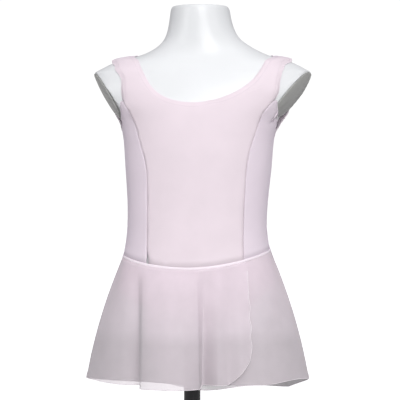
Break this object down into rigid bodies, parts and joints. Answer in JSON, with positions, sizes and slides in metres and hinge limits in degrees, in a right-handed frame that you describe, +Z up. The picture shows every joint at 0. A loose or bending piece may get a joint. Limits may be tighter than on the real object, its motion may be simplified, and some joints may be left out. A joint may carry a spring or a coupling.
{
  "type": "skirted ballet leotard on a dress form stand",
  "caption": "Child's tank leotard with princess seams and a sheer mock-wrap chiffon skirt, worn by a limbless dress form on a pole and round base.",
  "frame": {"origin": "centre of the base plate's underside, on the pole's axis", "axes": "+Z up along the pole; -Y is the wearer's front; +X is the wearer's left"},
  "size_m": [0.3388, 0.2836, 0.716],
  "materials": {
    "jersey": "matt stretch jersey, pale pink with a lilac cast in shade",
    "chiffon": "sheer matt chiffon with a fine rolled hem",
    "form_shell": "smooth white, softly glossy",
    "arm_plate": "flat grey",
    "stand_steel": "black satin paint"
  },
  "bodies": {
    "root": {"front_centre": "jersey", "front_side_left": "jersey", "front_side_right": "jersey", "back": "jersey", "briefs_front": "jersey", "briefs_back": "jersey", "briefs_gusset": "jersey", "hip_seam_roll": "jersey", "skirt_wrap_outer": "chiffon", "skirt_wrap_inner": "chiffon", "skirt_back": "chiffon", "dress_form": "form_shell", "arm_plate_left": "arm_plate", "arm_plate_right": "arm_plate", "stand_base": "stand_steel", "stand_hub": "stand_steel", "stand_pole": "stand_steel"}
  },
  "joints": []
}
